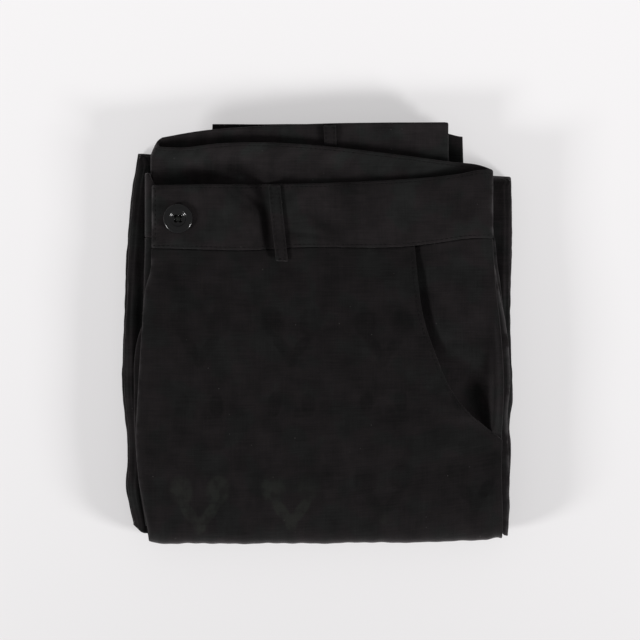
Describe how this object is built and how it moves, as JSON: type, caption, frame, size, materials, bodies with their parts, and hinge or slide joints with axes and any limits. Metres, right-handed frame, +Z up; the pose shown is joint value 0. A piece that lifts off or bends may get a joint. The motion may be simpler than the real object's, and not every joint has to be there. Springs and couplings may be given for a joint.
{
  "type": "folded trousers",
  "caption": "Black trousers with a soft waistband, buttoned fly and curved hip pocket, folded lengthwise and then over and over into a flat rectangle",
  "frame": {"origin": "centre of the folded stack's footprint, on the surface it lies on", "axes": "+X across the front from the centre fold to the side seams, +Y towards the waist, +Z up from the surface, with the left front on top"},
  "size_m": [0.2397, 0.2582, 0.0309],
  "materials": {
    "leg_cloth": "matte black cotton and linen plain weave, soft, slubby",
    "front_cloth": "matte black cotton and linen plain weave with a very faint tone-on-tone sprig",
    "back_cloth": "matte black cotton and linen plain weave",
    "band_cloth": "matte black plain weave over interfacing, smoother and stiffer",
    "band_inner_cloth": "matte black plain weave, slightly paler inner side of the waistband",
    "loop_cloth": "matte black plain weave folded to a narrow strip and stitched along both edges",
    "button_resin": "polished black resin with a round rim and dished middle"
  },
  "bodies": {
    "root": {"folded_legs": "leg_cloth", "leg_right_end": "leg_cloth", "leg_left_end": "leg_cloth", "front_right": "front_cloth", "back_right": "back_cloth", "back_left": "back_cloth", "front_left": "front_cloth", "pocket_facing_left": "front_cloth", "waistband_front_right": "band_cloth", "waistband_back": "band_inner_cloth", "waistband_front_left": "band_cloth", "belt_loop_front_left": "loop_cloth", "belt_loop_back_right": "loop_cloth", "button": "button_resin"}
  },
  "joints": []
}
